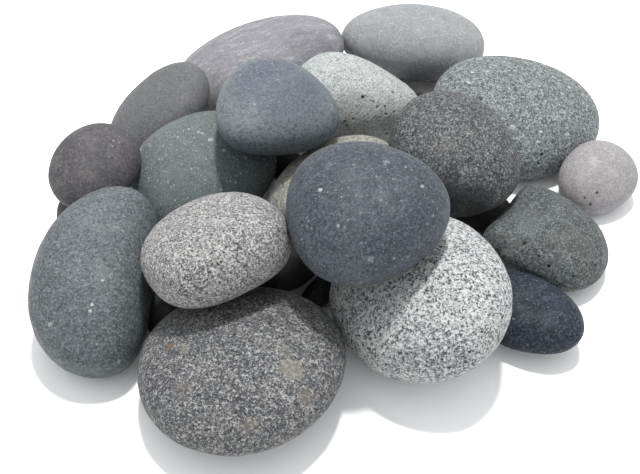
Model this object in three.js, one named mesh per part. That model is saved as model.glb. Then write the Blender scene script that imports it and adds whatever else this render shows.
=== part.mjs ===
// A heap of sea-worn beach pebbles, each one solid stone that rests on the floor or on its neighbours.
// Units are millimetres and degrees. +X is right, +Y is to the back, +Z is up, and the floor is z = 0.
import * as THREE from "three";
import { mergeVertices } from "three/addons/utils/BufferGeometryUtils.js";

// Driving dimensions
const touchingGap = 0.3; // room left between two stones that rest on each other
const wornFlat = 0.6; // depth worn off the underside of a floor stone, so that it stands on a flat
const surfaceDetail = 4; // splits of each edge of the icosahedron that a stone is worn from
const humpCount = 5; // low humps that make a stone a little uneven
const easingPasses = 80; // most rounds of easing the stones apart
const loweringStep = 0.1; // an upper stone is let down by this much at a time
const longestDrop = 6; // an upper stone is let down no further than this

// size is length, width and thickness. turn is the heading of the length, and lean is how far the stone
// then tips about X and about Y. fullness is 2 for an ellipsoid and more for a boxier stone. egg widens
// one end, broad widens one side, and bow bends the stone in plan like a bean. unevenness is the height of
// the low humps as a share of the size, and seed picks where they lie. A shoulder is one large hump: the
// way that it faces along the stone's own length, width and thickness, and its height.

const floorStones = {
  // smooth green-grey bean
  green_front_left: {
    size: [83, 49, 42], at: [-90.5, -28.5], lean: [16, -3], turn: 85,
    fullness: 2.36, egg: -0.06, broad: 0.06, bow: -0.36, unevenness: 0.006, seed: 1,
    color: 0x6f7676, roughness: 0.82,
  },
  // broad speckled stone, the largest at the front
  speckled_front: {
    size: [82, 80, 39], at: [-30, -68.5], lean: [-5, -4], turn: 31,
    fullness: 2.01, egg: -0.06, broad: -0.04, bow: 0.06, unevenness: 0.008, seed: 2,
    color: 0x75747a, roughness: 0.85,
  },
  // pale salt-and-pepper granite, the thickest
  granite_front_right: {
    size: [84, 71, 47], at: [41, -40], lean: [-1, -23], turn: -65,
    fullness: 2.06, egg: -0.07, broad: 0.02, bow: -0.01, unevenness: 0.008, seed: 3,
    color: 0xb4b5b2, roughness: 0.88,
  },
  // small egg, almost black
  blue_black_right: {
    size: [51, 36, 21], at: [84, -35.5], lean: [-2, -8], turn: -40,
    fullness: 2.22, egg: -0.12, broad: 0, bow: 0, unevenness: 0.007, seed: 4,
    color: 0x3b3f4b, roughness: 0.72,
  },
  // dark stone with a ridge along one side
  shouldered_right: {
    size: [60, 47, 27], at: [102, 7.5], lean: [4, 9], turn: -80,
    fullness: 1.54, egg: 0.32, broad: 0.33, bow: -0.18, unevenness: 0.012, seed: 5,
    shoulder: { facing: [-0.21, -0.98, 0.01], height: 0.55 },
    color: 0x5f6463, roughness: 0.8,
  },
  // pale pinkish stone
  pink_far_right: {
    size: [40, 34, 24], at: [129.5, 47], lean: [20, 3], turn: 45,
    fullness: 2.09, egg: 0.09, broad: 0, bow: 0, unevenness: 0.007, seed: 6,
    color: 0xa8a5a7, roughness: 0.85,
  },
  // large stone with long pale flecks
  flecked_back_right: {
    size: [86, 67, 32], at: [96.5, 83.5], lean: [20, 11], turn: 2,
    fullness: 2.05, egg: -0.08, broad: 0.04, bow: 0.05, unevenness: 0.008, seed: 7,
    color: 0x7b807f, roughness: 0.82,
  },
  // pale oval at the back
  pale_back: {
    size: [77, 50, 35], at: [49.5, 151], lean: [-4, 1], turn: -7,
    fullness: 2.12, egg: 0.09, broad: -0.04, bow: -0.03, unevenness: 0.007, seed: 8,
    color: 0x97989b, roughness: 0.85,
  },
  // pale stone full of small pores
  porous_middle: {
    size: [66, 44, 37], at: [16, 98.5], lean: [6, 16], turn: 0,
    fullness: 2.31, egg: -0.26, broad: -0.2, bow: 0.16, unevenness: 0.014, seed: 9,
    color: 0xa7aca6, roughness: 0.88,
  },
  // long stone with curved streaks
  streaked_back_left: {
    size: [95, 52, 32], at: [-31, 128.5], lean: [9, -4], turn: 24,
    fullness: 2.18, egg: 0.01, broad: -0.02, bow: -0.03, unevenness: 0.007, seed: 10,
    color: 0x9b999e, roughness: 0.84,
  },
  // plain grey stone
  plain_back_left: {
    size: [59, 44, 26], at: [-78, 88], lean: [14, -27], turn: 39,
    fullness: 2.19, egg: -0.03, broad: 0.01, bow: 0.08, unevenness: 0.007, seed: 11,
    color: 0x77777a, roughness: 0.84,
  },
  // green-grey stone with clusters of white specks
  green_left: {
    size: [71, 57, 31], at: [-53, 45.5], lean: [22, 7], turn: 39,
    fullness: 2.14, egg: -0.07, broad: 0.03, bow: -0.12, unevenness: 0.007, seed: 12,
    color: 0x727a78, roughness: 0.82,
  },
  // tan stone, mostly covered
  tan_middle: {
    size: [71, 45, 34], at: [5.5, 32.5], lean: [0, 0], turn: 37,
    fullness: 2.12, egg: 0.13, broad: 0, bow: 0.04, unevenness: 0.007, seed: 13,
    color: 0xa5a59c, roughness: 0.86,
  },
  // near-black stone under the brown one
  black_far_left: {
    size: [46, 36, 21], at: [-100.5, 23.5], lean: [-4, 1], turn: -68,
    fullness: 2.18, egg: 0.02, broad: 0.01, bow: 0.01, unevenness: 0.007, seed: 14,
    color: 0x3c3a3c, roughness: 0.78,
  },
  // covered stone that the upper granite lies on
  hidden_middle: {
    size: [68, 40, 32], at: [-32, -2.5], lean: [1, 0], turn: 0,
    fullness: 2.2, egg: 0, broad: 0, bow: 0, unevenness: 0.007, seed: 15,
    color: 0x47484a, roughness: 0.84,
  },
  // covered stone that fills the back of the heap
  hidden_back: {
    size: [33, 29, 26], at: [-27, 82], lean: [-2, -1], turn: -45,
    fullness: 2.2, egg: 0, broad: 0, bow: 0, unevenness: 0.007, seed: 16,
    color: 0x6d6f72, roughness: 0.84,
  },
  // covered stone in the hollow under the left end of the upper granite
  hidden_left: {
    size: [31, 15, 9], at: [-67.1, -28.2], lean: [0, 0], turn: 99,
    fullness: 2, egg: 0, broad: 0, bow: 0, unevenness: 0.007, seed: 23,
    color: 0x47484a, roughness: 0.84,
  },
  // covered stone in the hollow under the slate one
  hidden_front: {
    size: [38, 12, 11], at: [4.1, -13.8], lean: [0, 0], turn: 50,
    fullness: 2, egg: 0, broad: 0, bow: 0, unevenness: 0.007, seed: 24,
    color: 0x47484a, roughness: 0.84,
  },
  // covered stone under the thick dark one
  hidden_right: {
    size: [62, 32, 13], at: [64.2, 41], lean: [0, 0], turn: 140,
    fullness: 2, egg: 0, broad: 0, bow: 0, unevenness: 0.007, seed: 25,
    color: 0x47484a, roughness: 0.84,
  },
  // covered stone behind the thick dark one
  hidden_far: {
    size: [43.5, 20.5, 15], at: [58.4, 113.9], lean: [0, 0], turn: 160,
    fullness: 2, egg: 0, broad: 0, bow: 0, unevenness: 0.007, seed: 26,
    color: 0x47484a, roughness: 0.84,
  },
  // covered stone under the blue-grey one
  hidden_inner: {
    size: [17, 16, 15], at: [-14.8, 60.1], lean: [0, 0], turn: 17,
    fullness: 2, egg: 0, broad: 0, bow: 0, unevenness: 0.007, seed: 27,
    color: 0x47484a, roughness: 0.84,
  },
};

const upperStones = {
  // covered stone that the slate one lies on
  hidden_upper: {
    size: [46, 44, 26], at: [16, 8.5, 44.5], lean: [-4, -3], turn: 28,
    fullness: 2.2, egg: 0, broad: 0, bow: 0, unevenness: 0.007, seed: 17,
    color: 0x808282, roughness: 0.84,
  },
  // small brown-grey stone
  brown_far_left: {
    size: [45, 37, 22], at: [-100, 30.5, 35], lean: [21, 9], turn: 57,
    fullness: 2.04, egg: 0.05, broad: -0.03, bow: 0.02, unevenness: 0.007, seed: 18,
    color: 0x5e5c5f, roughness: 0.8,
  },
  // thick dark stone
  mottled_right: {
    size: [63, 57, 39], at: [59.5, 38, 36], lean: [11, 7], turn: -78,
    fullness: 2.22, egg: 0.09, broad: -0.06, bow: 0.05, unevenness: 0.01, seed: 19,
    color: 0x606163, roughness: 0.82,
  },
  // blue-grey oval with a greener rim
  blue_grey_upper: {
    size: [65, 55, 32], at: [-21.5, 55, 44.5], lean: [-4, 13], turn: 68,
    fullness: 2, egg: 0.26, broad: 0.1, bow: 0.15, unevenness: 0.007, seed: 20,
    color: 0x6b7079, roughness: 0.78,
  },
  // warm pale granite
  granite_upper_left: {
    size: [58, 55, 32], at: [-40.5, -34, 47], lean: [-15, -14], turn: 30,
    fullness: 2.53, egg: 0.02, broad: 0.03, bow: -0.12, unevenness: 0.007, seed: 21,
    color: 0xa09d9e, roughness: 0.88,
  },
  // slate-blue stone, the highest
  slate_top: {
    size: [64, 63, 36], at: [17, -32, 64.5], lean: [8, -2], turn: 83,
    fullness: 2, egg: 0.16, broad: 0.08, bow: 0.07, unevenness: 0.007, seed: 22,
    color: 0x4f535f, roughness: 0.76,
  },
};

// Numbers between 0 and 1 that are the same on every run.
function seededNumbers(seed) {
  let state = seed * 7919 + 17;
  return () => {
    state = (state * 16807) % 2147483647;
    return state / 2147483647;
  };
}

function lowHumps(stone) {
  const next = seededNumbers(stone.seed);
  return Array.from({ length: humpCount }, () => ({
    wave: new THREE.Vector3(next() - 0.5, next() - 0.5, next() - 0.5).setLength(2 + 2 * next()),
    start: next() * Math.PI * 2,
  }));
}

// How far out the surface lies in one direction, as a share of the plain rounded shape.
function swelling(direction, stone, humps) {
  let height = 0;
  for (const hump of humps) height += Math.sin(direction.dot(hump.wave) * 2 + hump.start);
  let out = 1 + (stone.unevenness * height) / Math.sqrt(humpCount);
  if (stone.shoulder) {
    const facing = new THREE.Vector3(...stone.shoulder.facing).normalize();
    out *= 1 + stone.shoulder.height * Math.exp(4 * (direction.dot(facing) - 1));
  }
  return out;
}

// A stone's closed surface about its own centre, leaning as it lies in the heap.
function stoneGeometry(stone) {
  const ball = new THREE.IcosahedronGeometry(1, surfaceDetail);
  ball.deleteAttribute("normal");
  ball.deleteAttribute("uv");
  const geometry = mergeVertices(ball);
  const humps = lowHumps(stone);
  const [length, width, thickness] = stone.size;
  const corners = geometry.getAttribute("position");
  const corner = new THREE.Vector3();
  for (let i = 0; i < corners.count; i++) {
    const direction = corner.fromBufferAttribute(corners, i).normalize().clone();
    const power = stone.fullness;
    const sum = Math.abs(corner.x) ** power + Math.abs(corner.y) ** power + Math.abs(corner.z) ** power;
    corner.multiplyScalar(swelling(direction, stone, humps) / sum ** (1 / power));
    const { x, y, z } = corner;
    const narrowing = 1 + stone.egg * x;
    corners.setXYZ(
      i,
      x * (1 + stone.broad * y) * (length / 2),
      (y * narrowing + stone.bow * (x * x - 0.3)) * (width / 2),
      z * (1 + (stone.egg / 2) * x) * (1 + 0.3 * stone.broad * y) * (thickness / 2),
    );
  }
  const [tipX, tipY] = stone.lean.map(THREE.MathUtils.degToRad);
  const heading = THREE.MathUtils.degToRad(stone.turn);
  geometry.applyMatrix4(new THREE.Matrix4().makeRotationFromEuler(new THREE.Euler(tipX, tipY, heading)));
  return geometry;
}

// A stone in the heap: its surface, where its centre is, and whether it stands on the floor.
function laid(name, stone, onFloor) {
  const geometry = stoneGeometry(stone);
  geometry.computeBoundingBox();
  geometry.computeBoundingSphere();
  const [x, y, z = -geometry.boundingBox.min.z - wornFlat] = stone.at;
  return {
    name,
    stone,
    onFloor,
    geometry,
    corners: geometry.getAttribute("position").array,
    reach: geometry.boundingSphere.radius + geometry.boundingSphere.center.length(),
    centre: new THREE.Vector3(x, y, z),
  };
}

// Clear distance between two stones measured along one direction.
function gapAlong(a, b, direction) {
  const { x, y, z } = direction;
  let farOfA = -Infinity;
  for (let i = 0; i < a.corners.length; i += 3) {
    farOfA = Math.max(farOfA, a.corners[i] * x + a.corners[i + 1] * y + a.corners[i + 2] * z);
  }
  let nearOfB = Infinity;
  for (let i = 0; i < b.corners.length; i += 3) {
    nearOfB = Math.min(nearOfB, b.corners[i] * x + b.corners[i + 1] * y + b.corners[i + 2] * z);
  }
  return nearOfB + b.centre.dot(direction) - farOfA - a.centre.dot(direction);
}

// The direction in which two stones are furthest clear of each other, found by trying small tilts of it.
function clearance(a, b) {
  let along = b.centre.clone().sub(a.centre).normalize();
  let gap = gapAlong(a, b, along);
  for (let tilt = 0.4; tilt > 0.002; tilt /= 2) {
    const across = new THREE.Vector3(-along.y, along.x, 0.01).cross(along).normalize();
    const other = across.clone().cross(along);
    for (let way = 0; way < 8; way++) {
      const angle = (way * Math.PI) / 4;
      const tilted = along.clone();
      tilted.addScaledVector(across, tilt * Math.cos(angle)).addScaledVector(other, tilt * Math.sin(angle));
      tilted.normalize();
      const tiltedGap = gapAlong(a, b, tilted);
      if (tiltedGap > gap) {
        gap = tiltedGap;
        along = tilted;
      }
    }
  }
  return { gap, along };
}

const couldTouch = (a, b) => a.centre.distanceTo(b.centre) < a.reach + b.reach;

// Moves two stones apart until they only just touch. A floor stone slides sideways, and gives way only
// to another floor stone. Returns whether anything moved.
function easeApart(a, b) {
  if (!couldTouch(a, b)) return false;
  const { gap, along } = clearance(a, b);
  const shortfall = touchingGap - gap;
  if (shortfall <= 0) return false;
  if (a.onFloor && b.onFloor) along.setZ(0);
  const push = shortfall / along.lengthSq();
  const shareOfA = a.onFloor === b.onFloor ? 0.5 : Number(!a.onFloor);
  a.centre.addScaledVector(along, -push * shareOfA);
  b.centre.addScaledVector(along, push * (1 - shareOfA));
  return true;
}

// Lets an upper stone down until it rests on something.
function letDown(stone, heap) {
  const others = heap.filter((other) => other !== stone && couldTouch(stone, other));
  for (let dropped = 0; dropped < longestDrop; dropped += loweringStep) {
    stone.centre.z -= loweringStep;
    if (others.some((other) => clearance(stone, other).gap < touchingGap)) {
      stone.centre.z += loweringStep;
      return;
    }
  }
}

// Flattens the underside of a floor stone where it would pass below the floor.
function wearFlat({ geometry, centre }) {
  const corners = geometry.getAttribute("position");
  for (let i = 0; i < corners.count; i++) corners.setZ(i, Math.max(corners.getZ(i), -centre.z));
}

const heap = [
  ...Object.entries(floorStones).map(([name, stone]) => laid(name, stone, true)),
  ...Object.entries(upperStones).map(([name, stone]) => laid(name, stone, false)),
];
for (let pass = 0, moved = true; moved && pass < easingPasses; pass++) {
  moved = false;
  heap.forEach((a, i) => heap.slice(i + 1).forEach((b) => (moved = easeApart(a, b) || moved)));
}
const upward = heap.filter((one) => !one.onFloor).sort((a, b) => a.centre.z - b.centre.z);
upward.forEach((one) => letDown(one, heap));
heap.filter((one) => one.onFloor).forEach(wearFlat);

const pebbles = new THREE.Group();
pebbles.name = "beach_pebbles";
for (const { name, stone, geometry, centre } of heap) {
  geometry.computeVertexNormals();
  const material = new THREE.MeshStandardMaterial({
    color: stone.color,
    roughness: stone.roughness,
    metalness: 0,
  });
  const mesh = new THREE.Mesh(geometry, material);
  mesh.name = name;
  mesh.position.copy(centre);
  pebbles.add(mesh);
}

// The origin is on the floor, under the middle of the heap.
const extent = new THREE.Box3().setFromObject(pebbles);
const middle = extent.getCenter(new THREE.Vector3());
pebbles.position.set(-middle.x, -middle.y, 0);

export default pebbles;
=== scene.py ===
# A heap of sea-worn beach pebbles: fine stone surfaces and finishes over the fixed CAD bodies.
import math
import random

import bmesh
import bpy
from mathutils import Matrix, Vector, noise
from mathutils.bvhtree import BVHTree
from mathutils.kdtree import KDTree


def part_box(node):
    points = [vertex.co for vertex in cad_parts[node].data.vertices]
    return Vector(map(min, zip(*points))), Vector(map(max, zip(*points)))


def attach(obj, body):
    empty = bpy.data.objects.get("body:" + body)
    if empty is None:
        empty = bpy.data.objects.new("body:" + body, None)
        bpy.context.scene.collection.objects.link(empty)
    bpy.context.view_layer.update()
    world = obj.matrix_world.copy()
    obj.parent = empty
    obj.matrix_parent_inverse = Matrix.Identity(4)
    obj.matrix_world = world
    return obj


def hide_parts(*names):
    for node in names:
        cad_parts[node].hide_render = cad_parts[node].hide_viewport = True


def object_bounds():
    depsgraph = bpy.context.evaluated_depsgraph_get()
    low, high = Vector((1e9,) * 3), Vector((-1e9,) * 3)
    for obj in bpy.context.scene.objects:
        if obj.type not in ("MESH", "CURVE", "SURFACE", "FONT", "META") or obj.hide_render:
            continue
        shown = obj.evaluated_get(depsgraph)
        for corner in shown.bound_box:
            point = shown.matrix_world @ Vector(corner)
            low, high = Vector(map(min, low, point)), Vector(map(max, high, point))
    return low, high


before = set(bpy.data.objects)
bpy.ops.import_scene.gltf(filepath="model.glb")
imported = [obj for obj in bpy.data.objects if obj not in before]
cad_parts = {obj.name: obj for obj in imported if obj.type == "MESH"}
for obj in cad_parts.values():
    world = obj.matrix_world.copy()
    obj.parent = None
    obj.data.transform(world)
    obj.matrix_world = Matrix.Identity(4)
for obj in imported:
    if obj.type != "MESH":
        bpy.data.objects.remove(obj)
cadLow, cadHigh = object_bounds()
mm = 0.001  # the scene is in metres, and the stones are easier to think of in millimetres
print("frame loaded:", len(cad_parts), "stones")

viewPoint = {
    "aimFromMiddle": (-0.0146, -0.0330, -0.0217),  # from the middle of the heap's box
    "distance": 0.452,
    "elevation": 45,  # degrees above the floor
    "fieldOfView": 34,  # degrees from side to side
}

heapMiddle = (cadLow + cadHigh) / 2
tilt = math.radians(viewPoint["elevation"])
sightForward = Vector((0, math.cos(tilt), -math.sin(tilt)))
sightUp = Vector((0, math.sin(tilt), math.cos(tilt)))
sightRight = Vector((1, 0, 0))
eye = heapMiddle + Vector(viewPoint["aimFromMiddle"]) - sightForward * viewPoint["distance"]


def addCamera():
    data = bpy.data.cameras.new("heapCamera")
    data.sensor_width = 36
    data.lens = data.sensor_width / 2 / math.tan(math.radians(viewPoint["fieldOfView"]) / 2)
    data.clip_start = 0.01
    data.clip_end = 50
    camera = bpy.data.objects.new("heapCamera", data)
    camera.location = eye
    camera.rotation_euler = (math.pi / 2 - tilt, 0, 0)
    bpy.context.scene.collection.objects.link(camera)
    bpy.context.scene.camera = camera


studio = {
    "keyFrom": (0.04, 0.18, 0.98),  # nearly overhead, a little behind the heap
    "keyDistance": 1.5,
    "keySize": 0.16,
    "keyPower": 26,
    "fillFrom": (-0.05, 0.62, 0.78),  # a broad light behind, for the pale upper edges
    "fillDistance": 1.3,
    "fillSize": 0.8,
    "fillPower": 3.5,
    "skyStrength": 1.1,
    "skyTint": (0.96, 0.98, 1.0),
    "floorWidth": 16,
    "floorTint": (0.93, 0.93, 0.93),
}


def addSoftbox(part):
    data = bpy.data.lights.new(part + "Softbox", "AREA")
    data.shape = "DISK"
    data.size = studio[part + "Size"]
    data.energy = studio[part + "Power"]
    light = bpy.data.objects.new(part + "Softbox", data)
    towards = Vector(studio[part + "From"]).normalized()
    light.location = heapMiddle + towards * studio[part + "Distance"]
    light.rotation_euler = towards.to_track_quat("Z", "Y").to_euler()
    bpy.context.scene.collection.objects.link(light)


def addStudio():
    addSoftbox("key")
    addSoftbox("fill")

    world = bpy.data.worlds.new("paleRoom")
    world.use_nodes = True
    background = world.node_tree.nodes["Background"]
    background.inputs["Color"].default_value = (*studio["skyTint"], 1)
    background.inputs["Strength"].default_value = studio["skyStrength"]
    bpy.context.scene.world = world
    bpy.context.scene.view_settings.view_transform = "Standard"

    grid = bmesh.new()
    bmesh.ops.create_grid(grid, x_segments=4, y_segments=4, size=studio["floorWidth"] / 2)
    mesh = bpy.data.meshes.new("floor")
    grid.to_mesh(mesh)
    grid.free()
    floor = bpy.data.objects.new("floor", mesh)
    bpy.context.scene.collection.objects.link(floor)
    paint = bpy.data.materials.new("paleFloor")
    paint.use_nodes = True
    shader = paint.node_tree.nodes["Principled BSDF"]
    shader.inputs["Base Color"].default_value = (*studio["floorTint"], 1)
    shader.inputs["Roughness"].default_value = 0.9
    shader.inputs["Specular IOR Level"].default_value = 0.2
    mesh.materials.append(paint)


addCamera()
addStudio()
print("camera, light and floor are set")


mineralDepth = 0.5  # dry stone is about half as bright as its tint beside a white floor


def tone(code):
    # a web colour code as the linear colour that the shader wants
    parts = [int(code[i : i + 2], 16) / 255 for i in (0, 2, 4)]
    linear = [c / 12.92 if c <= 0.04045 else ((c + 0.055) / 1.055) ** 2.4 for c in parts]
    return (*(c * mineralDepth for c in linear), 1)


def addNode(tree, kind, inputs=None, **settings):
    node = tree.nodes.new(kind)
    for name, value in settings.items():
        setattr(node, name, value)
    for name, value in (inputs or {}).items():
        if isinstance(value, bpy.types.NodeSocket):
            tree.links.new(value, node.inputs[name])
        else:
            node.inputs[name].default_value = value
    return node


def addMath(tree, operation, first, second):
    node = addNode(tree, "ShaderNodeMath", {0: first, 1: second}, operation=operation)
    return node.outputs[0]


def addFade(tree, value, start, end, low=0.0, high=1.0):
    # low where value is at start, high where it is at end, smooth between them
    node = addNode(
        tree,
        "ShaderNodeMapRange",
        {"Value": value, "From Min": start, "From Max": end, "To Min": low, "To Max": high},
        interpolation_type="SMOOTHSTEP",
    )
    return node.outputs["Result"]


def startGroup(name, inputs, outputs):
    tree = bpy.data.node_groups.new(name, "ShaderNodeTree")
    for label, value in inputs.items():
        kind = "NodeSocketVector" if isinstance(value, tuple) else "NodeSocketFloat"
        socket = tree.interface.new_socket(label, in_out="INPUT", socket_type=kind)
        socket.default_value = value
    for label in outputs:
        tree.interface.new_socket(label, in_out="OUTPUT", socket_type="NodeSocketFloat")
    return tree, tree.nodes.new("NodeGroupInput").outputs, tree.nodes.new("NodeGroupOutput").inputs


def wobbled(tree, vector, scale, amount, detail=2.0):
    # the vector, pushed about by a noise
    cloud = addNode(
        tree, "ShaderNodeTexNoise", {"Vector": vector, "Scale": scale, "Detail": detail}
    )
    centred = addNode(
        tree,
        "ShaderNodeVectorMath",
        {0: cloud.outputs["Color"], 1: (0.5, 0.5, 0.5)},
        operation="SUBTRACT",
    )
    push = addNode(
        tree,
        "ShaderNodeVectorMath",
        {"Vector": centred.outputs[0], "Scale": amount},
        operation="SCALE",
    )
    moved = addNode(
        tree, "ShaderNodeVectorMath", {0: vector, 1: push.outputs[0]}, operation="ADD"
    )
    return moved.outputs[0]


def makeClouds():
    # soft patches of a second tint
    tree, given, made = startGroup(
        "softClouds",
        {"Vector": (0.0, 0.0, 0.0), "Scale": 60.0, "Level": 0.5, "Softness": 0.1},
        ["Mask"],
    )
    cloud = addNode(
        tree,
        "ShaderNodeTexNoise",
        {"Vector": given["Vector"], "Scale": given["Scale"], "Detail": 5.0, "Roughness": 0.6},
    )
    start = addMath(tree, "SUBTRACT", given["Level"], given["Softness"])
    end = addMath(tree, "ADD", given["Level"], given["Softness"])
    tree.links.new(addFade(tree, cloud.outputs["Fac"], start, end), made["Mask"])
    return tree


crystal = {
    "wander": 1.6,  # how far the edges are pushed about, in grains
    "driftScale": 0.16,  # crowded and empty parts, beside the scale of the grains
    "dustScale": 0.55,  # the noise that breaks the grains up
    "dustRange": (0.3, 0.7),
    "edge": 0.08,  # softness of a grain's edge
}


def makeCrystals():
    # angular mineral grains, each either in the mask or not
    tree, given, made = startGroup(
        "crystalGrains",
        {"Vector": (0.0, 0.0, 0.0), "Scale": 700.0, "Share": 0.3, "Cluster": 0.3},
        ["Mask"],
    )
    reach = addMath(tree, "DIVIDE", crystal["wander"], given["Scale"])
    moved = wobbled(tree, given["Vector"], given["Scale"], reach)
    cells = addNode(
        tree, "ShaderNodeTexVoronoi", {"Vector": moved, "Scale": given["Scale"]}
    )
    split = addNode(tree, "ShaderNodeSeparateColor", {"Color": cells.outputs["Color"]})
    wide = addMath(tree, "MULTIPLY", given["Scale"], crystal["driftScale"])
    crowd = addNode(
        tree, "ShaderNodeTexNoise", {"Vector": given["Vector"], "Scale": wide, "Detail": 3.0}
    )
    lean = addMath(tree, "SUBTRACT", crowd.outputs["Fac"], 0.5)
    lean = addMath(tree, "MULTIPLY", lean, given["Cluster"])
    half = addMath(tree, "MULTIPLY", given["Scale"], crystal["dustScale"])
    dust = addNode(
        tree,
        "ShaderNodeTexNoise",
        {"Vector": given["Vector"], "Scale": half, "Detail": 2.0, "Roughness": 0.75},
    )
    ragged = addFade(tree, dust.outputs["Fac"], *crystal["dustRange"])
    mixed = addMath(tree, "ADD", split.outputs["Red"], ragged)
    mixed = addMath(tree, "MULTIPLY", mixed, 0.5)
    chance = addMath(tree, "ADD", mixed, lean)
    edge = addMath(tree, "SUBTRACT", given["Share"], crystal["edge"])
    tree.links.new(addFade(tree, chance, given["Share"], edge), made["Mask"])
    return tree


speck = {
    "wander": 0.5,  # how far the edges are pushed about, in specks
    "wanderScale": 2.5,
    "driftScale": 0.22,
    "drift": 1.5,  # how strongly the specks gather
    "smallest": 0.35,  # beside the largest
    "core": 0.6,  # the part of a speck at full strength
}


def makeSpecks():
    # loose small specks that gather in drifts
    tree, given, made = startGroup(
        "looseSpecks",
        {"Vector": (0.0, 0.0, 0.0), "Scale": 300.0, "Share": 0.2, "Size": 0.3},
        ["Mask"],
    )
    reach = addMath(tree, "DIVIDE", speck["wander"], given["Scale"])
    fine = addMath(tree, "MULTIPLY", given["Scale"], speck["wanderScale"])
    moved = wobbled(tree, given["Vector"], fine, reach)
    cells = addNode(
        tree, "ShaderNodeTexVoronoi", {"Vector": moved, "Scale": given["Scale"]}
    )
    split = addNode(tree, "ShaderNodeSeparateColor", {"Color": cells.outputs["Color"]})
    wide = addMath(tree, "MULTIPLY", given["Scale"], speck["driftScale"])
    crowd = addNode(
        tree, "ShaderNodeTexNoise", {"Vector": given["Vector"], "Scale": wide, "Detail": 3.0}
    )
    lean = addMath(tree, "SUBTRACT", crowd.outputs["Fac"], 0.5)
    lean = addMath(tree, "MULTIPLY", lean, speck["drift"])
    chance = addMath(tree, "SUBTRACT", split.outputs["Red"], lean)
    chosen = addMath(tree, "LESS_THAN", chance, given["Share"])
    bigness = addFade(tree, split.outputs["Green"], 0.0, 1.0, speck["smallest"], 1.0)
    size = addMath(tree, "MULTIPLY", bigness, given["Size"])
    core = addMath(tree, "MULTIPLY", size, speck["core"])
    inside = addFade(tree, cells.outputs["Distance"], size, core)
    tree.links.new(addMath(tree, "MULTIPLY", inside, chosen), made["Mask"])
    return tree


streak = {
    "bendScale": 0.12,  # the slow curves, beside the scale of the bands
    "drawn": (0.07, 1.0, 0.5),  # the bands are stretched along the first axis
}


def makeStreaks():
    # long wavy bands that run along the vector's first axis
    tree, given, made = startGroup(
        "wavyStreaks",
        {
            "Vector": (0.0, 0.0, 0.0),
            "Scale": 150.0,
            "Bend": 0.02,
            "Level": 0.55,
            "Softness": 0.05,
        },
        ["Mask"],
    )
    slow = addMath(tree, "MULTIPLY", given["Scale"], streak["bendScale"])
    moved = wobbled(tree, given["Vector"], slow, given["Bend"])
    drawn = addNode(
        tree,
        "ShaderNodeVectorMath",
        {0: moved, 1: streak["drawn"]},
        operation="MULTIPLY",
    )
    bands = addNode(
        tree,
        "ShaderNodeTexNoise",
        {"Vector": drawn.outputs[0], "Scale": given["Scale"], "Detail": 4.0, "Roughness": 0.55},
    )
    start = addMath(tree, "SUBTRACT", given["Level"], given["Softness"])
    end = addMath(tree, "ADD", given["Level"], given["Softness"])
    tree.links.new(addFade(tree, bands.outputs["Fac"], start, end), made["Mask"])
    return tree


blot = {
    "edgeScale": 1.6,  # ragged bays to a radius
    "edgeReach": 3.0,
    "edgeDetail": 4.0,
    "core": 0.55,  # the part of the radius at full strength
}


def makeSpot():
    # one ragged patch round a place on the stone
    tree, given, made = startGroup(
        "raggedSpot",
        {"Vector": (0.0, 0.0, 0.0), "Place": (0.0, 0.0, 0.0), "Radius": 0.004, "Ragged": 0.5},
        ["Mask"],
    )
    scale = addMath(tree, "DIVIDE", blot["edgeScale"], given["Radius"])
    reach = addMath(tree, "MULTIPLY", given["Radius"], given["Ragged"])
    reach = addMath(tree, "MULTIPLY", reach, blot["edgeReach"])
    moved = wobbled(tree, given["Vector"], scale, reach, blot["edgeDetail"])
    away = addNode(
        tree, "ShaderNodeVectorMath", {0: moved, 1: given["Place"]}, operation="DISTANCE"
    )
    core = addMath(tree, "MULTIPLY", given["Radius"], blot["core"])
    tree.links.new(addFade(tree, away.outputs["Value"], given["Radius"], core), made["Mask"])
    return tree


wornSkin = {
    "broadScale": 0.22,  # beside the scale of the fine relief
    "mattRange": (0.35, 0.65),
}


def makeSkin():
    # the worn skin: fine relief and a roughness that wanders
    tree, given, made = startGroup(
        "wornSkin",
        {"Vector": (0.0, 0.0, 0.0), "Scale": 900.0, "Low": 0.6, "High": 0.8},
        ["Height", "Roughness"],
    )
    fine = addNode(
        tree,
        "ShaderNodeTexNoise",
        {"Vector": given["Vector"], "Scale": given["Scale"], "Detail": 6.0, "Roughness": 0.65},
    )
    wide = addMath(tree, "MULTIPLY", given["Scale"], wornSkin["broadScale"])
    broad = addNode(
        tree,
        "ShaderNodeTexNoise",
        {"Vector": given["Vector"], "Scale": wide, "Detail": 3.0, "Roughness": 0.5},
    )
    relief = addMath(tree, "ADD", fine.outputs["Fac"], broad.outputs["Fac"])
    tree.links.new(relief, made["Height"])
    start, end = wornSkin["mattRange"]
    rough = addFade(tree, broad.outputs["Fac"], start, end, given["Low"], given["High"])
    tree.links.new(rough, made["Roughness"])
    return tree


rimWobble = {"scale": 2.5, "reach": 0.25}


def makeRim():
    # 0 on the crown of a stone, 1 towards its edge, on a vector measured in half sizes; it carries
    # a rim colour on the blue-grey stone and a painted highlight on the topmost one
    tree, given, made = startGroup(
        "rimTintAndHighlight",
        {"Vector": (0.0, 0.0, 0.0), "Start": 0.75, "End": 1.0},
        ["Mask"],
    )
    moved = wobbled(tree, given["Vector"], rimWobble["scale"], rimWobble["reach"])
    flat = addNode(
        tree, "ShaderNodeVectorMath", {0: moved, 1: (1.0, 1.0, 0.0)}, operation="MULTIPLY"
    )
    reach = addNode(tree, "ShaderNodeVectorMath", {0: flat.outputs[0]}, operation="LENGTH")
    fade = addFade(tree, reach.outputs["Value"], given["Start"], given["End"])
    tree.links.new(fade, made["Mask"])
    return tree


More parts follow.
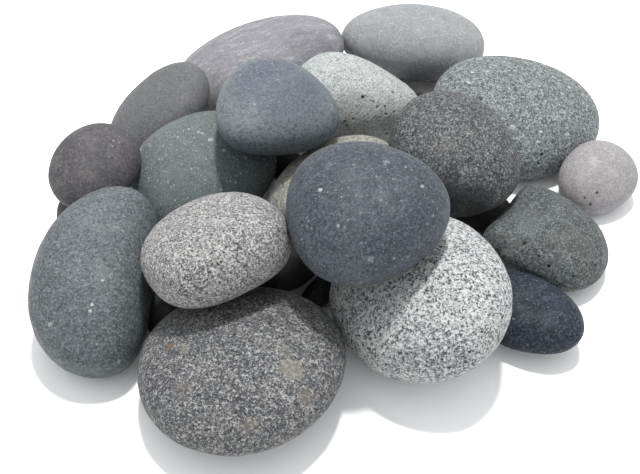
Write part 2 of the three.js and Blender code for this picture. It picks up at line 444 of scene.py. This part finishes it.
groups = {
    "clouds": makeClouds(),
    "crystals": makeCrystals(),
    "specks": makeSpecks(),
    "streaks": makeStreaks(),
    "spot": makeSpot(),
    "skin": makeSkin(),
    "rim": makeRim(),
}
print("node groups built:", ", ".join(groups))


plainShape = {
    "rounding": 3,  # levels of smoothing over the CAD facets
    "fullness": 0.2,  # mm put back that the smoothing takes off
    "lumpSize": 24,
    "lumpHeight": 0.35,
    "dentSize": 8,
    "dentHeight": 0.14,
    "grainSize": 2.4,
    "grainHeight": 0.05,
    "pits": [],  # across, up, radius, depth
    "pores": None,  # their region is low and high across, then low and high up
}


weldDistance = 0.01 * mm


def roundedMesh(node, levels):
    # the CAD facets merged into one skin, then smoothed
    rough = bmesh.new()
    rough.from_mesh(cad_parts[node].data)
    bmesh.ops.remove_doubles(rough, verts=rough.verts, dist=weldDistance)
    mesh = bpy.data.meshes.new(node + "_skin")
    rough.to_mesh(mesh)
    rough.free()
    carrier = bpy.data.objects.new(node + "_carrier", mesh)
    bpy.context.scene.collection.objects.link(carrier)
    smoothing = carrier.modifiers.new("rounding", "SUBSURF")
    smoothing.levels = levels
    smoothing.render_levels = levels
    seen = carrier.evaluated_get(bpy.context.evaluated_depsgraph_get())
    fine = bmesh.new()
    fine.from_mesh(seen.to_mesh())
    seen.to_mesh_clear()
    bpy.data.objects.remove(carrier)
    bpy.data.meshes.remove(mesh)
    fine.normal_update()
    return fine


def asSeen(point):
    # where a point stands in the camera's view: share of the depth to the right, and up
    away = point - eye
    depth = away.dot(sightForward)
    return away.dot(sightRight) / depth, away.dot(sightUp) / depth


class Outline:
    # the box that a stone fills in the camera's view, to name places on it by shares from -1 to 1
    def __init__(self, skin):
        seen = [asSeen(v.co) for v in skin.verts]
        self.low = [min(s[i] for s in seen) for i in (0, 1)]
        self.high = [max(s[i] for s in seen) for i in (0, 1)]
        self.tree = BVHTree.FromBMesh(skin)

    def shares(self, point):
        seen = asSeen(point)
        return [2 * (seen[i] - self.low[i]) / (self.high[i] - self.low[i]) - 1 for i in (0, 1)]

    def place(self, across, up):
        share = (across, up)
        x, y = (
            self.low[i] + (share[i] + 1) / 2 * (self.high[i] - self.low[i]) for i in (0, 1)
        )
        line = sightForward + sightRight * x + sightUp * y
        found = self.tree.ray_cast(eye, line.normalized())[0]
        if found is None:
            raise ValueError(f"no stone at {across}, {up}")
        return found


def weather(skin, shape, seed):
    # broad lumps, shallow dents and grain, pushed along the normals
    shift = Vector((seed * 3.7, seed * 1.9, seed * 5.3))
    layers = [
        (shape["lumpSize"] * mm, shape["lumpHeight"] * mm),
        (shape["dentSize"] * mm, shape["dentHeight"] * mm),
        (shape["grainSize"] * mm, shape["grainHeight"] * mm),
    ]
    for vert in skin.verts:
        push = shape["fullness"] * mm
        for size, height in layers:
            push += height * noise.noise(vert.co / size + shift)
        vert.co += vert.normal * push
    skin.normal_update()


pitMarkSpread = 1.6  # the painted shade of a pit reaches a little further out than its steep wall


def dig(skin, holes):
    # round pits, each sunk along the normal at its middle, and marked for the painted shade that
    # darkens them in the finish
    mark = skin.verts.layers.float.new("pit")
    near = KDTree(len(skin.verts))
    for vert in skin.verts:
        near.insert(vert.co, vert.index)
    near.balance()
    skin.verts.ensure_lookup_table()
    sink = {}
    for place, radius, depth in holes:
        for _, index, away in near.find_range(place, radius):
            share = (1 - (away / radius) ** 2) ** 2
            sink[index] = max(sink.get(index, 0), share * depth)
            vert = skin.verts[index]
            vert[mark] = max(vert[mark], min(1, share * pitMarkSpread))
    for index, depth in sink.items():
        vert = skin.verts[index]
        vert.co -= vert.normal * depth


def poresOf(skin, outline, pores, seed):
    # small pits strewn over one region of the stone
    draw = random.Random(seed)
    skin.verts.ensure_lookup_table()
    found = []
    while len(found) < pores["count"]:
        vert = skin.verts[draw.randrange(len(skin.verts))]
        across, up = outline.shares(vert.co)
        low, high, bottom, top = pores["region"]
        inside = low < across < high and bottom < up < top
        if inside or draw.random() < pores["elsewhere"]:
            size = pores["smallest"] + (pores["largest"] - pores["smallest"]) * draw.random() ** 2
            found.append((vert.co.copy(), size * mm, size * pores["steepness"] * mm))
    return found


def stoneObject(node, shape, seed):
    skin = roundedMesh(node, shape["rounding"])
    weather(skin, shape, seed)
    outline = Outline(skin)
    holes = [
        (outline.place(across, up), radius * mm, depth * mm)
        for across, up, radius, depth in shape["pits"]
    ]
    if shape["pores"]:
        holes += poresOf(skin, outline, shape["pores"], seed)
    dig(skin, holes)
    for vert in skin.verts:
        vert.co.z = max(vert.co.z, 0)  # nothing sinks below the floor
    for face in skin.faces:
        face.smooth = True
    mesh = bpy.data.meshes.new(node + "_pebble")
    skin.to_mesh(mesh)
    skin.free()
    stone = bpy.data.objects.new(node + "_pebble", mesh)
    bpy.context.scene.collection.objects.link(stone)
    return stone, outline


plainFinish = {
    "base": "707070",
    "clouds": [],  # tint, size, level, softness, strength
    "grains": [],  # tint, size, share, cluster, strength
    "streaks": [],  # tint, size, bend, level, softness, strength
    "flecks": [],  # tint, size, share, fill, stretch, strength
    "specks": [],  # tint, size, share, fill, strength
    "patches": [],  # soft, under the grain: tint, across, up, radius, ragged, strength
    "spots": [],  # sharp, over the grain: tint, across, up, radius, ragged, strength
    "rim": None,  # tint, start, end, strength
    # the pit tint is painted shade in the hollows of the pits and pores
    "pitTint": "2b2c2e",
    "pitStrength": 0.8,
    "lie": 0,  # degrees that the stone's long axis is turned
    "skinSize": 1.1,
    "skinDepth": 0.2,
    "grainDepth": 0.05,
    "matt": (0.62, 0.82),
    "sheen": 0.4,
}


class Finish:
    # a stone's material, laid on tint by tint
    def __init__(self, name, node, finish):
        low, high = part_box(node)
        self.material = bpy.data.materials.new(name)
        self.material.use_nodes = True
        self.tree = self.material.node_tree
        self.shader = self.tree.nodes["Principled BSDF"]
        spot = self.tree.nodes.new("ShaderNodeTexCoord").outputs["Object"]
        turn = (0, 0, math.radians(finish["lie"]))
        middle = (low + high) / 2
        self.point = spot
        self.along = self.mapped(spot, middle, turn, (1, 1, 1))
        self.share = self.mapped(spot, middle, (0, 0, 0), (high - low) / 2)
        self.colour = tone(finish["base"])

    def mapped(self, vector, location, rotation, scale):
        return addNode(
            self.tree,
            "ShaderNodeMapping",
            {"Vector": vector, "Location": location, "Rotation": rotation, "Scale": scale},
            vector_type="TEXTURE",
        ).outputs[0]

    def mask(self, group, inputs):
        node = addNode(self.tree, "ShaderNodeGroup", inputs, node_tree=groups[group])
        return node.outputs["Mask"]

    def lay(self, mask, tint, strength):
        amount = addMath(self.tree, "MULTIPLY", mask, strength)
        self.colour = addNode(
            self.tree,
            "ShaderNodeMix",
            {0: amount, 6: self.colour, 7: tone(tint)},
            data_type="RGBA",
        ).outputs[2]


def laySpots(made, spots, outline):
    for tint, across, up, radius, ragged, strength in spots:
        mask = made.mask(
            "spot",
            {
                "Vector": made.point,
                "Place": outline.place(across, up),
                "Radius": radius * mm,
                "Ragged": ragged,
            },
        )
        made.lay(mask, tint, strength)


def stoneMaterial(name, node, finish, outline):
    made = Finish(name, node, finish)
    tree = made.tree
    for tint, size, level, softness, strength in finish["clouds"]:
        mask = made.mask(
            "clouds",
            {
                "Vector": made.point,
                "Scale": 1 / (size * mm),
                "Level": level,
                "Softness": softness,
            },
        )
        made.lay(mask, tint, strength)
    # the rim: a rim colour on the blue-grey stone, a painted highlight along the topmost stone's
    # edge
    if finish["rim"]:
        tint, start, end, strength = finish["rim"]
        mask = made.mask("rim", {"Vector": made.share, "Start": start, "End": end})
        made.lay(mask, tint, strength)
    for tint, size, bend, level, softness, strength in finish["streaks"]:
        mask = made.mask(
            "streaks",
            {
                "Vector": made.along,
                "Scale": 1 / (size * mm),
                "Bend": bend * mm,
                "Level": level,
                "Softness": softness,
            },
        )
        made.lay(mask, tint, strength)
    laySpots(made, finish["patches"], outline)
    raised = None
    for tint, size, share, cluster, strength in finish["grains"]:
        mask = made.mask(
            "crystals",
            {
                "Vector": made.point,
                "Scale": 1 / (size * mm),
                "Share": share,
                "Cluster": cluster,
            },
        )
        made.lay(mask, tint, strength)
        raised = mask
    for tint, size, share, fill, stretch, strength in finish["flecks"]:
        drawn = addNode(
            tree,
            "ShaderNodeVectorMath",
            {0: made.along, 1: (1 / stretch, 1.0, 1.0)},
            operation="MULTIPLY",
        ).outputs[0]
        mask = made.mask(
            "specks",
            {"Vector": drawn, "Scale": 1 / (size * mm), "Share": share, "Size": fill},
        )
        made.lay(mask, tint, strength)
    for tint, size, share, fill, strength in finish["specks"]:
        mask = made.mask(
            "specks",
            {"Vector": made.point, "Scale": 1 / (size * mm), "Share": share, "Size": fill},
        )
        made.lay(mask, tint, strength)
    laySpots(made, finish["spots"], outline)
    # painted shade in the pits and pores
    pit = addNode(tree, "ShaderNodeAttribute", attribute_name="pit").outputs["Fac"]
    made.lay(pit, finish["pitTint"], finish["pitStrength"])

    low, high = finish["matt"]
    scale = 1 / (finish["skinSize"] * mm)
    skin = addNode(
        tree,
        "ShaderNodeGroup",
        {"Vector": made.point, "Scale": scale, "Low": low, "High": high},
        node_tree=groups["skin"],
    )
    relief = addNode(
        tree,
        "ShaderNodeBump",
        {"Height": skin.outputs["Height"], "Distance": finish["skinDepth"] * mm},
    ).outputs["Normal"]
    if raised:
        relief = addNode(
            tree,
            "ShaderNodeBump",
            {"Height": raised, "Distance": finish["grainDepth"] * mm, "Normal": relief},
        ).outputs["Normal"]
    tree.links.new(made.colour, made.shader.inputs["Base Color"])
    tree.links.new(skin.outputs["Roughness"], made.shader.inputs["Roughness"])
    tree.links.new(relief, made.shader.inputs["Normal"])
    made.shader.inputs["Specular IOR Level"].default_value = finish["sheen"]
    return made.material


def makePebble(node, own):
    # own holds whatever this stone has different from the plain shape and the plain finish
    settings = {**plainShape, **plainFinish, **own}
    stone, outline = stoneObject(node, settings, own["seed"])
    stone.data.materials.append(stoneMaterial(node + "_finish", node, settings, outline))
    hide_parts(node)
    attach(stone, "root")
    print("made", stone.name, len(stone.data.polygons), "faces")


# smooth green-grey stone at the front left, with a few white specks and one black pit
greenFrontLeft = {
    "seed": 1,
    "base": "686e70",
    "clouds": [
        ("5a6163", 14, 0.5, 0.12, 0.6),
        ("787e80", 3.2, 0.56, 0.08, 0.35),
        ("848a8b", 34, 0.60, 0.12, 0.35),
    ],
    # the patches are painted light and shade: a darker patch low on the right, and a lighter one
    # on the top where the light falls
    "patches": [("4d5355", 0.35, -0.55, 12, 0.5, 0.4), ("7f8586", -0.1, 0.75, 12, 0.5, 0.5)],
    "grains": [("42484a", 0.68, 0.46, 0.35, 0.85), ("8a9294", 0.64, 0.41, 0.3, 0.85)],
    "specks": [
        ("c3c7c5", 3, 0.06, 0.26, 0.7),
        ("b1b6b5", 1.7, 0.12, 0.34, 0.6),
        ("a9afae", 1.1, 0.12, 0.4, 0.5),
    ],
    "spots": [
        ("d7d9d5", 0.14, 0.02, 0.7, 0.5, 0.9),
        ("d7d9d5", -0.02, -0.23, 0.8, 0.5, 0.9),
        ("d2d3d1", -0.05, -0.30, 0.9, 0.6, 0.9),
        ("c5c8c5", -0.66, -0.44, 1.3, 0.9, 0.7),
    ],
    "pits": [(0.17, 0.24, 0.9, 0.9), (-0.35, 0.10, 0.6, 0.4), (0.30, -0.40, 0.6, 0.4)],
    "pitTint": "181a1a",
    "pitStrength": 0.95,
    "matt": (0.55, 0.75),
}
makePebble("green_front_left", greenFrontLeft)

# broad speckled stone, the largest at the front, with cream patches and one rusty spot
speckledFront = {
    "seed": 2,
    "base": "737478",
    "clouds": [
        ("5f6068", 15, 0.5, 0.1, 0.6),
        ("888782", 24, 0.56, 0.1, 0.5),
        ("85796b", 11, 0.62, 0.07, 0.4),
        ("627077", 7, 0.60, 0.06, 0.4),
    ],
    "grains": [
        ("a9a9a7", 0.62, 0.46, 0.45, 0.75),
        ("2b2c31", 0.58, 0.46, 0.4, 0.75),
        ("d2d1cc", 0.66, 0.36, 0.45, 0.75),
        ("2b2d31", 0.5, 0.37, 0.4, 0.75),
    ],
    "spots": [
        ("a9a595", 0.49, 0.01, 5.6, 0.4, 0.5),
        ("98948a", 0.42, 0.22, 3.6, 0.4, 0.4),
        ("a5a196", -0.54, 0.27, 2.8, 0.4, 0.55),
        ("a3a098", -0.09, -0.04, 2.0, 0.4, 0.5),
        ("988e80", 0.08, -0.62, 3.6, 0.5, 0.45),
        ("928a80", 0.62, -0.30, 4.2, 0.5, 0.4),
        ("8a8377", -0.58, -0.20, 4.6, 0.5, 0.35),
        ("9a7350", -0.69, 0.30, 1.6, 0.6, 0.65),
    ],
    "grainDepth": 0.1,
    "skinDepth": 0.3,
    "dentHeight": 0.2,
    "grainHeight": 0.09,
    "matt": (0.7, 0.9),
}
makePebble("speckled_front", speckledFront)

# pale salt-and-pepper granite at the front right
graniteFrontRight = {
    "seed": 3,
    "base": "d0d2d0",
    "clouds": [("b7baba", 20, 0.5, 0.1, 0.6), ("e4e5e0", 9, 0.55, 0.08, 0.5)],
    "patches": [
        # the grey patches are painted shade on the lower and left sides, and the white ones are
        # painted light on the middle and upper right
        ("8f9292", 0.15, -0.75, 17, 0.5, 0.45),
        ("8b8e8f", -0.72, -0.1, 9, 0.5, 0.45),
        ("f2f2ee", -0.05, 0.05, 9, 0.35, 0.5),
        ("f2f2ee", 0.30, 0.42, 9, 0.35, 0.5),
    ],
    "grains": [
        ("8b8e90", 0.8, 0.48, 0.5, 0.85),
        ("ffffff", 0.75, 0.45, 0.3, 0.85),
        ("2e3033", 0.66, 0.42, 0.4, 0.9),
        ("ffffff", 0.6, 0.32, 0.3, 0.8),
    ],
    "pits": [(-0.60, 0.0, 1.3, 0.9), (-0.53, -0.02, 1.0, 0.7)],
    "grainDepth": 0.14,
    "skinDepth": 0.3,
    "grainHeight": 0.1,
    "dentHeight": 0.2,
    "matt": (0.7, 0.92),
}
makePebble("granite_front_right", graniteFrontRight)

# small smooth stone, very dark blue, at the right
blueBlackRight = {
    "seed": 4,
    "fullness": 0.1,
    "base": "222b3b",
    "clouds": [("18202c", 10, 0.5, 0.12, 0.7), ("303846", 4, 0.58, 0.08, 0.4)],
    "grains": [("0a0c12", 0.7, 0.46, 0.35, 0.9), ("485165", 0.66, 0.40, 0.3, 0.9)],
    "specks": [("8e949b", 1.7, 0.20, 0.38, 0.65), ("7c8289", 1.1, 0.20, 0.42, 0.6)],
    "matt": (0.55, 0.75),
    "sheen": 0.3,
}
makePebble("blue_black_right", blueBlackRight)

# dark green-grey stone with a shoulder and a few pits, at the right
shoulderedRight = {
    "seed": 5,
    "base": "616666",
    "clouds": [
        ("4f5455", 13, 0.5, 0.1, 0.7),
        ("6e6d66", 11, 0.56, 0.08, 0.4),
        ("7a7f7d", 5, 0.57, 0.08, 0.45),
    ],
    "grains": [
        ("36393a", 0.70, 0.45, 0.35, 0.85),
        ("8b9090", 0.66, 0.41, 0.3, 0.85),
        ("303334", 0.55, 0.32, 0.3, 0.8),
    ],
    "specks": [("babdb9", 1.5, 0.16, 0.3, 0.55)],
    "spots": [
        ("7a7e80", -0.30, 0.35, 9, 0.5, 0.3),
        ("6b675d", 0.45, -0.05, 10, 0.5, 0.25),
        # the near-black spot at the left end is painted shadow, where the mottled stone above
        # overhangs it
        ("2a2c2d", -0.85, -0.15, 8, 0.4, 0.45),
    ],
    "pits": [
        (-0.22, 0.82, 0.8, 0.8),
        (-0.33, -0.10, 1.0, 0.9),
        (0.05, -0.53, 1.1, 1.0),
        (0.80, -0.50, 1.0, 0.9),
        (0.45, -0.72, 0.9, 0.8),
    ],
    "pores": {
        "count": 26,
        "smallest": 0.4,
        "largest": 0.8,
        "steepness": 0.7,
        "region": (-0.8, 0.9, -0.9, 0.2),
        "elsewhere": 0.15,
    },
    "rounding": 4,
    "pitTint": "151617",
    "pitStrength": 0.95,
    "lumpHeight": 0.7,
    "dentHeight": 0.3,
}
makePebble("shouldered_right", shoulderedRight)

# pale pinkish stone, far right
pinkFarRight = {
    "seed": 6,
    "base": "b3afb0",
    "clouds": [("a39ea0", 9, 0.5, 0.1, 0.6), ("c2bebb", 4, 0.56, 0.08, 0.5)],
    "grains": [("99969a", 0.66, 0.46, 0.35, 0.7), ("cdc9ca", 0.62, 0.40, 0.3, 0.7)],
    "spots": [
        ("cfcaca", -0.10, 0.45, 3.2, 0.6, 0.5),
        ("c9c4c4", 0.40, 0.10, 2.6, 0.6, 0.45),
        ("c9c4c4", -0.45, 0.0, 2.2, 0.6, 0.45),
    ],
    "pits": [(-0.20, -0.72, 0.8, 0.8), (-0.03, -0.41, 0.9, 0.8), (-0.34, -0.55, 0.6, 0.5)],
    "pitTint": "242324",
    "pitStrength": 0.95,
}
makePebble("pink_far_right", pinkFarRight)

# large green-grey stone with white flecks drawn out along it
fleckedBackRight = {
    "seed": 7,
    "base": "8e9394",
    "lie": -18,
    "clouds": [("717677", 15, 0.5, 0.12, 0.6), ("969c9c", 5, 0.57, 0.08, 0.4)],
    "streaks": [("979d9c", 5, 6, 0.56, 0.05, 0.35)],
    "grains": [
        ("4b4f51", 0.70, 0.46, 0.35, 0.85),
        ("bec4c5", 0.66, 0.40, 0.3, 0.85),
        ("474b4d", 0.56, 0.30, 0.3, 0.8),
    ],
    "flecks": [
        ("e9ebe8", 2.4, 0.20, 0.36, 2.6, 0.65),
        ("dfe2df", 1.5, 0.22, 0.38, 2.0, 0.6),
        ("f1f3ef", 4.2, 0.10, 0.26, 2.6, 0.8),
    ],
    "pits": [
        (0.32, -0.60, 1.1, 1.1),
        (0.28, -0.74, 0.9, 0.9),
        (-0.02, 0.53, 0.9, 0.8),
        (-0.41, 0.30, 1.0, 0.8),
    ],
    "pores": {
        "count": 34,
        "smallest": 0.4,
        "largest": 0.75,
        "steepness": 0.7,
        "region": (-0.9, 0.9, -0.9, 0.9),
        "elsewhere": 0.3,
    },
    "rounding": 4,
    "pitTint": "151617",
    "pitStrength": 0.95,
    "dentHeight": 0.2,
}
makePebble("flecked_back_right", fleckedBackRight)

# light grey oval at the back
paleBack = {
    "seed": 8,
    "base": "a9abad",
    "clouds": [("999b9e", 16, 0.5, 0.1, 0.5), ("bbbdbd", 6, 0.56, 0.08, 0.45)],
    "streaks": [("b9babc", 3.4, 9, 0.57, 0.04, 0.35)],
    "grains": [("8f9194", 0.62, 0.46, 0.35, 0.7), ("c1c3c5", 0.58, 0.40, 0.3, 0.7)],
    "specks": [("e3e4e2", 2.4, 0.1, 0.22, 0.55), ("77797b", 2.0, 0.06, 0.2, 0.5)],
    "spots": [
        ("86888a", 0.45, 0.62, 3.2, 0.8, 0.4),
        ("dcdcda", 0.28, 0.60, 1.2, 0.9, 0.6),
        ("dcdcda", 0.02, 0.62, 0.8, 0.9, 0.6),
    ],
}
makePebble("pale_back", paleBack)

# pale green-grey stone with many dark pores low down
porousMiddle = {
    "seed": 9,
    "base": "cccfcd",
    "clouds": [("bcc0bd", 12, 0.5, 0.1, 0.6), ("d9dbd8", 5, 0.56, 0.08, 0.5)],
    # the two grey patches are painted shade along the lower edge, which faces away from the light
    "patches": [("8e908e", 0.05, -0.85, 9, 0.5, 0.5), ("999b98", 0.55, -0.6, 7, 0.5, 0.5)],
    "grains": [
        ("9fa2a0", 0.66, 0.44, 0.35, 0.8),
        ("dfe2df", 0.62, 0.40, 0.3, 0.8),
        ("6f716f", 0.5, 0.30, 0.4, 0.7),
    ],
    "pits": [(0.10, 0.02, 1.3, 1.0), (0.26, -0.08, 0.8, 0.7), (0.55, 0.12, 0.7, 0.6)],
    "pores": {
        "count": 240,
        "smallest": 0.35,
        "largest": 0.9,
        "steepness": 0.8,
        "region": (-0.5, 1.0, -1.0, -0.1),
        "elsewhere": 0.12,
    },
    "rounding": 4,
    "pitTint": "1d1e1e",
    "pitStrength": 0.95,
    "dentHeight": 0.35,
    "grainHeight": 0.12,
    "grainDepth": 0.08,
}
makePebble("porous_middle", porousMiddle)

# long purple-grey stone with light streaks along it
streakedBackLeft = {
    "seed": 10,
    "base": "9e9da1",
    "lie": 24,
    "clouds": [("8a898f", 16, 0.5, 0.12, 0.6), ("a6a5a9", 6, 0.56, 0.1, 0.4)],
    "patches": [
        ("6c6b71", 0.62, 0.35, 15, 0.5, 0.6),
        ("77767c", 0.80, 0.05, 10, 0.5, 0.5),
        ("a9a6a6", -0.70, -0.45, 13, 0.5, 0.5),
    ],
    "streaks": [
        ("c0bfc1", 3.2, 16, 0.56, 0.025, 0.7),
        ("7b7b81", 6, 14, 0.58, 0.04, 0.55),
        ("cbcacb", 1.7, 12, 0.60, 0.025, 0.65),
    ],
    "grains": [("86858b", 0.62, 0.46, 0.35, 0.75), ("aaa9ae", 0.58, 0.40, 0.3, 0.75)],
    "lumpHeight": 0.6,
}
makePebble("streaked_back_left", streakedBackLeft)

# plain grey stone at the back left
plainBackLeft = {
    "seed": 11,
    "fullness": 0.1,
    "base": "77777a",
    "clouds": [("67686c", 13, 0.5, 0.1, 0.6), ("878789", 5, 0.57, 0.08, 0.4)],
    "grains": [("636365", 0.66, 0.46, 0.35, 0.8), ("89898d", 0.62, 0.40, 0.3, 0.8)],
    "specks": [("a9a9a9", 2.2, 0.08, 0.26, 0.5)],
}
makePebble("plain_back_left", plainBackLeft)

# green-grey stone at the left, with white speck clusters
greenLeft = {
    "seed": 12,
    "base": "757e7d",
    "clouds": [("666e6f", 13, 0.5, 0.12, 0.6), ("89908f", 5, 0.57, 0.08, 0.4)],
    "grains": [("5d6464", 0.66, 0.46, 0.35, 0.75), ("8a9493", 0.62, 0.40, 0.3, 0.75)],
    "specks": [
        ("dfe2de", 2.2, 0.20, 0.32, 0.75),
        ("cfd4d0", 1.5, 0.24, 0.38, 0.7),
        ("c0c6c3", 1.0, 0.22, 0.42, 0.6),
    ],
    "spots": [("d9dcd8", 0.10, 0.55, 1.4, 0.9, 0.8), ("d3d6d2", 0.28, 0.38, 1.1, 0.9, 0.7)],
    "matt": (0.58, 0.78),
}
makePebble("green_left", greenLeft)

# tan stone, mostly under the topmost one
tanMiddle = {
    "seed": 13,
    "base": "a6a69d",
    "clouds": [("95958a", 11, 0.5, 0.1, 0.6), ("b9b8ad", 5, 0.56, 0.08, 0.4)],
    "grains": [("74746e", 0.80, 0.46, 0.35, 0.85), ("d3d3c7", 0.76, 0.40, 0.3, 0.85)],
}
makePebble("tan_middle", tanMiddle)

# nearly black stone of which a sliver shows, far left
blackFarLeft = {
    "seed": 14,
    "base": "3a383a",
    "clouds": [("2e2d2f", 9, 0.5, 0.1, 0.6), ("484647", 4, 0.57, 0.08, 0.4)],
    "grains": [("292729", 0.75, 0.46, 0.35, 0.85), ("4a474a", 0.71, 0.40, 0.3, 0.85)],
}
makePebble("black_far_left", blackFarLeft)

# dark brown-grey stone, far left
brownFarLeft = {
    "seed": 18,
    "base": "625f62",
    "clouds": [("4f4d50", 10, 0.5, 0.1, 0.7), ("7d7875", 8, 0.58, 0.08, 0.5)],
    "grains": [("4a474a", 0.66, 0.46, 0.35, 0.8), ("787478", 0.62, 0.40, 0.3, 0.8)],
    "specks": [("b9b5b2", 2.4, 0.12, 0.3, 0.6), ("a5a09d", 1.5, 0.14, 0.36, 0.55)],
}
makePebble("brown_far_left", brownFarLeft)

# thick dark stone with purple, green and brown mottling
mottledRight = {
    "seed": 19,
    "base": "5f6163",
    "clouds": [
        ("4e4f56", 12, 0.5, 0.1, 0.6),
        ("616b67", 9, 0.57, 0.08, 0.5),
        ("6b6258", 7, 0.62, 0.07, 0.5),
    ],
    "grains": [
        ("232425", 0.68, 0.45, 0.4, 0.85),
        ("9c9e9f", 0.64, 0.41, 0.4, 0.85),
        ("1a1b1c", 0.57, 0.34, 0.4, 0.8),
    ],
    "specks": [("c9c7c1", 1.5, 0.22, 0.3, 0.6), ("b9b4ab", 1.0, 0.14, 0.36, 0.5)],
    "spots": [
        # the two near-black spots low down are painted shade on the stone's underside, which faces
        # away from the light; the brown one is the stone's own colour
        ("141518", -0.05, -0.92, 23, 0.2, 0.8),
        ("17181b", -0.70, -0.5, 16, 0.25, 0.65),
        ("7a7064", -0.12, 0.12, 4, 0.6, 0.3),
    ],
    "dentHeight": 0.22,
    "grainDepth": 0.06,
}
makePebble("mottled_right", mottledRight)

# blue-grey oval with a greener rim, in the upper layer
blueGreyUpper = {
    "seed": 20,
    "base": "69707b",
    "clouds": [("5b626e", 12, 0.5, 0.12, 0.6), ("79808a", 5, 0.57, 0.08, 0.4)],
    "rim": ("8b9494", 0.5, 0.92, 0.75),
    "grains": [("535861", 0.66, 0.46, 0.35, 0.8), ("818a97", 0.62, 0.40, 0.3, 0.8)],
    "specks": [("cfd4d5", 2.4, 0.12, 0.3, 0.6), ("a9b0b5", 1.4, 0.16, 0.38, 0.55)],
    "pits": [(-0.28, 0.66, 0.8, 0.6), (0.42, 0.10, 0.7, 0.5), (-0.55, -0.05, 0.7, 0.5)],
    "pitTint": "202226",
    "matt": (0.55, 0.75),
}
makePebble("blue_grey_upper", blueGreyUpper)

# pale granite with warm tints, upper layer at the left
graniteUpperLeft = {
    "seed": 21,
    "base": "a5a4a4",
    "clouds": [
        ("8f8f91", 14, 0.5, 0.1, 0.6),
        ("b6b1a8", 9, 0.56, 0.08, 0.5),
        ("aa9c8f", 6, 0.62, 0.07, 0.4),
    ],
    "grains": [
        ("68686b", 0.66, 0.45, 0.4, 0.8),
        ("e8e7e4", 0.62, 0.42, 0.3, 0.85),
        ("303033", 0.56, 0.38, 0.35, 0.9),
        ("f4f2ee", 0.5, 0.30, 0.3, 0.7),
    ],
    "pits": [(-0.40, -0.78, 1.0, 0.9), (0.30, 0.05, 0.7, 0.5), (-0.05, 0.28, 0.6, 0.5)],
    "pitTint": "1b1b1c",
    "grainDepth": 0.12,
    "skinDepth": 0.3,
    "dentHeight": 0.2,
    "grainHeight": 0.09,
    "matt": (0.7, 0.9),
}
makePebble("granite_upper_left", graniteUpperLeft)

# smooth dark slate-blue stone, the topmost
slateTop = {
    "seed": 22,
    "base": "434753",
    "clouds": [
        ("393d48", 14, 0.5, 0.12, 0.6),
        ("4c555a", 9, 0.54, 0.1, 0.6),
        ("545561", 5, 0.57, 0.08, 0.35),
    ],
    # the rim is a painted highlight: a paler edge all round the stone, where the light catches its
    # rounded sides
    "rim": ("62686f", 0.86, 1.02, 0.6),
    "grains": [("1f2229", 0.66, 0.45, 0.35, 0.8), ("676d7d", 0.62, 0.41, 0.3, 0.8)],
    "specks": [
        ("a9afb5", 2.4, 0.20, 0.32, 0.6),
        ("989fa6", 1.5, 0.22, 0.38, 0.6),
        ("8f959c", 1.0, 0.22, 0.42, 0.55),
    ],
    "spots": [
        ("d4d7d6", -0.58, 0.33, 1.0, 0.7, 0.85),
        ("c9cdce", 0.66, 0.38, 0.9, 0.9, 0.75),
        ("c2c6c8", -0.36, -0.17, 0.8, 0.9, 0.75),
        ("9fa5aa", 0.02, -0.62, 1.5, 0.9, 0.6),
        ("9fa5aa", 0.22, 0.72, 1.4, 0.9, 0.6),
        ("80878d", -0.48, 0.66, 2.6, 0.9, 0.4),
    ],
    "matt": (0.52, 0.7),
}
makePebble("slate_top", slateTop)

# covered stones that carry the upper ones and fill the hollows, hardly seen; the near-black tint
# of the dark ones is painted shade, so the hollows between the stones read dark
coveredPaintedShade = {
    "base": "201f20",
    "clouds": [("171617", 9, 0.5, 0.1, 0.6)],
    "grains": [("121112", 0.75, 0.46, 0.35, 0.85), ("2c2a2c", 0.71, 0.40, 0.3, 0.85)],
    "rounding": 2,
}
coveredGrey = {**plainBackLeft, "rounding": 2}
makePebble("hidden_middle", {**coveredPaintedShade, "seed": 15})
makePebble("hidden_back", {**coveredGrey, "seed": 16})
makePebble("hidden_upper", {**coveredGrey, "seed": 17})
for seed, place in enumerate(("left", "front", "right", "far", "inner"), 23):
    makePebble("hidden_" + place, {**coveredPaintedShade, "seed": seed})

print("all stones are made")
